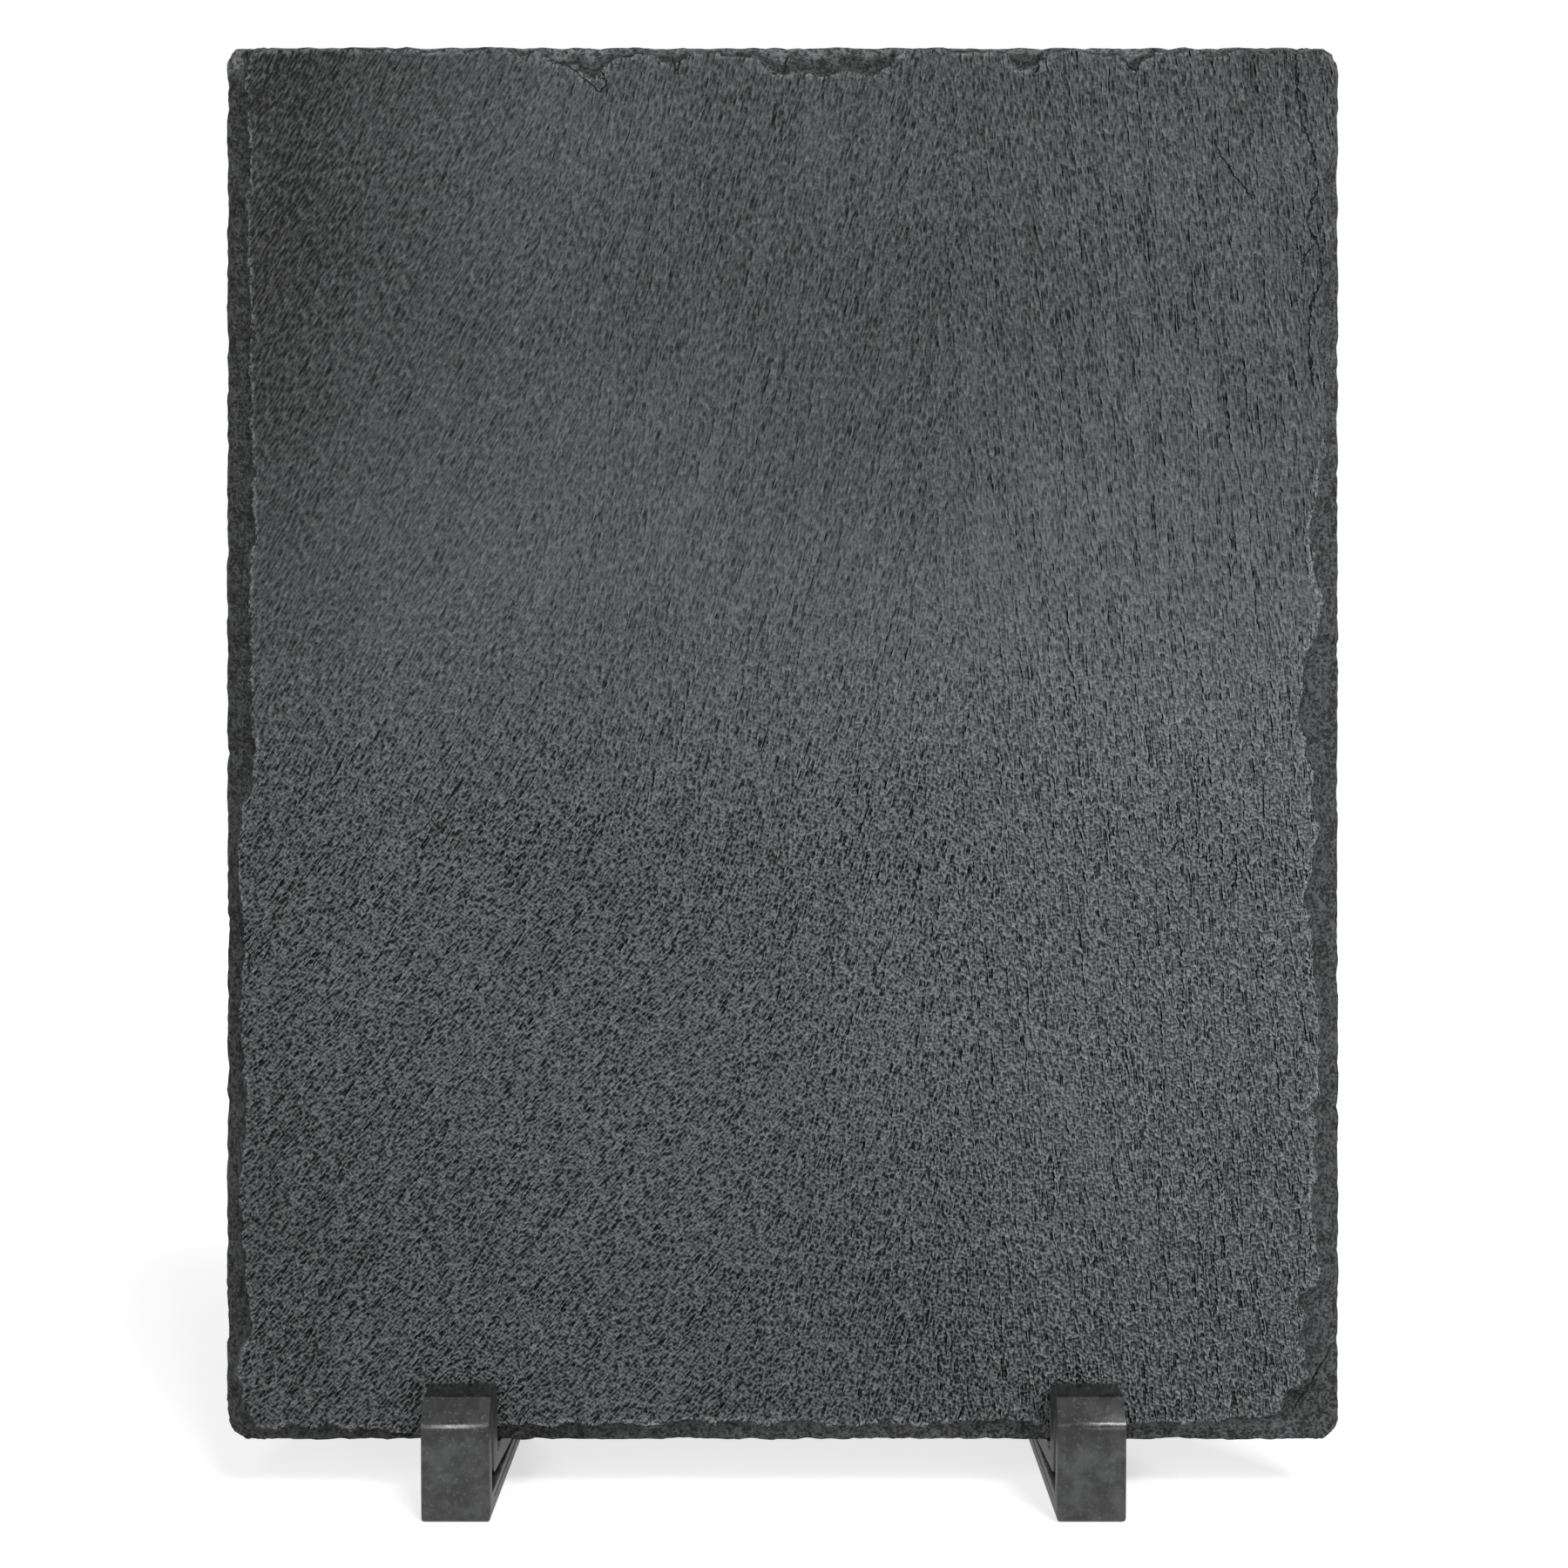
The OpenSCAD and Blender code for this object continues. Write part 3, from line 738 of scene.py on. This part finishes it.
def slate_material():
    """Riven slate: fine ripples along the cleavage with painted shade in hollows and pits and painted
    light on ridges, cracks, and rough broken edges.
    """
    n = Nodes("slate")
    stone = n.attribute("stone")
    broken = n.attribute("broken", "Fac")
    pale = n.attribute("painted_edge_light", "Fac")
    rough, light, painted_pit_shade = n.parts(n.attribute("zones"))
    ripples = along_grains(n, RIPPLES, 0.0, 0.5)
    grooves = along_grains(n, GROOVES, 1.6, 0.7, "grain_left")
    grooves = n.math("MULTIPLY", grooves, n.attribute("groove", "Fac"))
    flat = n.flat(stone)
    grit = n.math("SUBTRACT", n.noise(n.scaled(flat, GRIT), 0.0, 0.5), 0.5)
    clouds = n.math("SUBTRACT", n.noise(n.scaled(flat, CLOUDS, CLOUDS_PLACE), 1.0, 0.5), 0.5)
    wander = n.math("SUBTRACT", n.noise(n.scaled(flat, WANDER)), 0.5)
    wander = n.math("MULTIPLY", wander, 1.6)
    gap = cleft(n, wander)
    height = n.math("MULTIPLY_ADD", grit, rough, ripples)
    height = n.math("MULTIPLY", height, rough)
    edge = n.range(broken, 0.03, 0.22)

    # Painted light and shade: the relief's height and the grooves darken the colour in the hollows and
    # lighten it on the ridges, and the square of the height paints the extremes darker at the lower
    # left, as shade in the pits, and paler elsewhere
    tone_and_painted_light = n.math("MULTIPLY_ADD", height, RELIEF_SHADE_GAIN, TONE_BASE)
    skew = n.math("MULTIPLY_ADD", painted_pit_shade, -4.0, 2.0)
    tone_and_painted_light = n.math("MULTIPLY_ADD", n.math("MULTIPLY", height, height), skew, tone_and_painted_light)
    tone_and_painted_light = n.math("MULTIPLY_ADD", grooves, 0.30, tone_and_painted_light)
    # Painted sheen and shade across the face, from the zones
    tone_and_painted_light = n.math("MULTIPLY_ADD", light, 0.20, tone_and_painted_light)
    tone_and_painted_light = n.math("MULTIPLY_ADD", clouds, 0.20, tone_and_painted_light, clamp=True)
    face = n.mix(tone_and_painted_light, *shades(FACE_LEVELS))
    chips = n.noise(n.scaled(stone, CHIPS), 2.0, 0.6)
    flecks = n.noise(n.scaled(stone, FLECKS), 1.0, 0.6)
    mixed = n.math("MULTIPLY_ADD", flecks, 0.6, n.math("MULTIPLY", chips, 0.4))
    # The broken stone in painted shade and in painted light, mixed by side
    shaded_break = n.mix(n.range(mixed, 0.38, 0.62), *shades(SHADED_BREAK_LEVELS))
    lit_break = n.mix(n.range(mixed, 0.40, 0.60), *shades(LIT_BREAK_LEVELS))
    color = n.mix(edge, face, n.mix(pale, shaded_break, lit_break))
    # The painted highlight along the crests
    crest_highlight = n.math("MULTIPLY", n.attribute("crest_highlight", "Fac"), n.range(mixed, 0.46, 0.56, 0.0, 0.85))
    crest_highlight = n.math("MULTIPLY", crest_highlight, n.range(pale, 0.10, 0.26, 0.4, 1.0))
    color = n.mix(crest_highlight, color, grey(CREST_HIGHLIGHT_LEVEL))
    color = n.mix(gap, color, grey(CRACK_LEVEL))

    face_share = n.math("SUBTRACT", 1.0, edge)
    normal = n.bump(n.math("MULTIPLY", grooves, face_share), GROOVE_BUMP)
    normal = n.bump(n.math("MULTIPLY", height, face_share), FACE_BUMP, normal)
    normal = n.bump(n.math("MULTIPLY", mixed, edge), CHIP_BUMP, normal)
    normal = n.bump(n.math("MULTIPLY", gap, -1.0), CRACK_BUMP, normal)
    gloss = n.range(grit, -0.2, 0.2, 0.46, 0.62)
    return n.finish(n.surface(color, gloss, normal, SLATE_SPECULAR))


def plastic_material():
    """Black moulded plastic: semi-gloss fronts and matt flanks, mottled, with fine dust and scuffs."""
    n = Nodes("black_plastic")
    place = n.add("ShaderNodeTexCoord").outputs["Object"]
    mottle = n.noise(n.scaled(place, MOTTLE), 3.0, 0.60)
    fine = n.noise(n.scaled(place, SCUFFS), 2.0, 0.6)
    dusty = n.range(n.parts(place)[2], DUST_TOP, DUST_FULL)
    dusty = n.math("MULTIPLY", dusty, n.range(mottle, 0.30, 0.70, 0.15, 0.60))
    color = n.mix(n.range(mottle, 0.35, 0.65), *shades(PLASTIC_LEVELS))
    color = n.mix(dusty, color, grey(DUST_LEVEL))
    color = n.mix(n.range(fine, 0.56, 0.70, 0.0, 0.35), color, grey(SCUFF_LEVEL))
    flank = n.math("ABSOLUTE", n.parts(n.add("ShaderNodeNewGeometry").outputs["Normal"])[0])
    front = n.range(mottle, 0.3, 0.7, *FRONT_ROUGHNESS)
    rough = n.math("MULTIPLY_ADD", n.range(flank, 0.85, 0.98), FLANK_ROUGHER, front)
    height = n.math("ADD", mottle, n.math("MULTIPLY", fine, 0.3))
    return n.finish(n.surface(color, rough, n.bump(height, PLASTIC_BUMP), 0.5))


# The feet

def widen_bend(shape):
    """A wider round where the foot's front turns back into its lip, tangent to the same two faces."""
    for vertex in shape.verts:
        out, up = BEND_MIDDLE[0] - vertex.co.y, vertex.co.z - BEND_MIDDLE[1]
        turn = math.atan2(up, out)
        if 0.5 < math.hypot(out, up) / BEND_ROUND < 1.02 and -0.01 < turn < BEND_TURN + 0.01:
            vertex.co.y += BEND_WIDER * (1 - math.cos(turn))
            vertex.co.z += BEND_WIDER * (math.sin(turn) - math.tan(BEND_TURN / 2))


def make_foot(name, material):
    """A foot with its moulded edges rounded, from the CAD node of that name."""
    mesh = bpy.data.meshes.new(name + "_moulded")
    shape = bmesh.new()
    shape.from_mesh(frame["nodes"][name].data)
    bmesh.ops.remove_doubles(shape, verts=shape.verts, dist=0.001 * MM)
    bmesh.ops.dissolve_limit(shape, angle_limit=FLAT, verts=shape.verts, edges=shape.edges)
    widen_bend(shape)
    shape.normal_update()
    sharp = [e for e in shape.edges if len(e.link_faces) == 2 and e.calc_face_angle() > SHARP]
    bmesh.ops.bevel(
        shape, geom=sharp, offset=FOOT_EDGE, segments=3, profile=0.5, affect="EDGES", clamp_overlap=True
    )
    for face in shape.faces:
        face.smooth = True
    bmesh.ops.triangulate(shape, faces=[f for f in shape.faces if len(f.verts) > 4])
    shape.to_mesh(mesh)
    shape.free()
    mesh.set_sharp_from_angle(angle=SHARP_LEFT)
    mesh.materials.append(material)
    piece = bpy.data.objects.new(name + "_moulded", mesh)
    bpy.context.scene.collection.objects.link(piece)
    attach(piece, name)
    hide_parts(name)


# The studio: floor, room, lamps and camera

def seen_directly(tree):
    """1 for what the camera, a gloss or a glass sees, and 0 for light on other things."""
    path = tree.nodes.new("ShaderNodeLightPath")
    total = path.outputs["Is Camera Ray"]
    for name in ("Is Glossy Ray", "Is Transmission Ray"):
        both = tree.nodes.new("ShaderNodeMath")
        both.operation = "MAXIMUM"
        tree.links.new(total, both.inputs[0])
        tree.links.new(path.outputs[name], both.inputs[1])
        total = both.outputs[0]
    return total


def floor_material():
    """A pale floor that takes the shadow, white further off."""
    n = Nodes("floor")
    place = n.add("ShaderNodeTexCoord").outputs["Object"]
    away = n.add("ShaderNodeVectorMath", operation="LENGTH")
    n.join(place, away.inputs[0])
    level = n.range(away.outputs["Value"], WHITE_FROM, WHITE_BY, NEAR_GLOW, 1.0)
    glow = n.add("ShaderNodeEmission")
    n.join(n.math("MULTIPLY", level, seen_directly(n.tree)), glow.inputs["Strength"])
    both = n.add("ShaderNodeAddShader")
    n.join(n.surface((FLOOR_LEVEL, FLOOR_LEVEL, FLOOR_LEVEL, 1.0), 0.9, specular=0.1), both.inputs[0])
    n.join(glow.outputs[0], both.inputs[1])
    return n.finish(both.outputs[0])


def make_floor():
    bpy.ops.mesh.primitive_plane_add(size=FLOOR_SIZE)
    floor = bpy.context.object
    floor.name = "floor"
    floor.data.materials.append(floor_material())


def make_world():
    """A plain room of even light, white where it is seen."""
    world = bpy.data.worlds.new("studio")
    bpy.context.scene.world = world
    world.use_nodes = True
    tree = world.node_tree
    tree.nodes.clear()
    output = tree.nodes.new("ShaderNodeOutputWorld")
    levels = tree.nodes.new("ShaderNodeMapRange")
    levels.inputs["To Min"].default_value = ROOM_LEVEL
    levels.inputs["To Max"].default_value = 1.0
    light = tree.nodes.new("ShaderNodeBackground")
    light.inputs["Color"].default_value = (1, 1, 1, 1)
    tree.links.new(seen_directly(tree), levels.inputs["Value"])
    tree.links.new(levels.outputs["Result"], light.inputs["Strength"])
    tree.links.new(light.outputs[0], output.inputs["Surface"])


def make_lamp(name, place, size, power):
    """A soft box, so wide and so tall, that faces the middle of the board."""
    data = bpy.data.lights.new(name, "AREA")
    data.shape = "RECTANGLE"
    data.size, data.size_y = size
    data.energy = power
    lamp = bpy.data.objects.new(name, data)
    lamp.location = place
    aim = Vector((0, 0, CAMERA_HEIGHT)) - Vector(place)
    lamp.rotation_euler = aim.to_track_quat("-Z", "Y").to_euler()
    bpy.context.scene.collection.objects.link(lamp)


def make_camera():
    data = bpy.data.cameras.new("camera")
    data.sensor_width = SENSOR
    data.lens = SENSOR * FOCAL_PIXELS / PHOTO_PIXELS
    data.shift_y = CAMERA_SHIFT
    data.clip_start = 0.01
    camera = bpy.data.objects.new("camera", data)
    camera.location = (CAMERA_SIDE, -CAMERA_BACK, CAMERA_HEIGHT)
    camera.rotation_euler = (math.radians(90 - CAMERA_PITCH), 0.0, 0.0)
    bpy.context.scene.collection.objects.link(camera)
    bpy.context.scene.camera = camera


bpy.context.scene.view_settings.view_transform = "Standard"
make_camera()
make_world()
make_floor()
make_lamp("key", KEY_PLACE, KEY_SIZE, KEY_POWER)
make_lamp("sheen", SHEEN_PLACE, SHEEN_SIZE, SHEEN_POWER)
make_lamp("glint", GLINT_PLACE, GLINT_SIZE, GLINT_POWER)
make_lamp("rear", REAR_PLACE, REAR_SIZE, REAR_POWER)

slate = make_board(Board())
slate.data.materials.append(slate_material())
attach(slate, "slate_board")
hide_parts("slate_board")

plastic = plastic_material()
for foot in ("foot_left", "foot_right"):
    make_foot(foot, plastic)
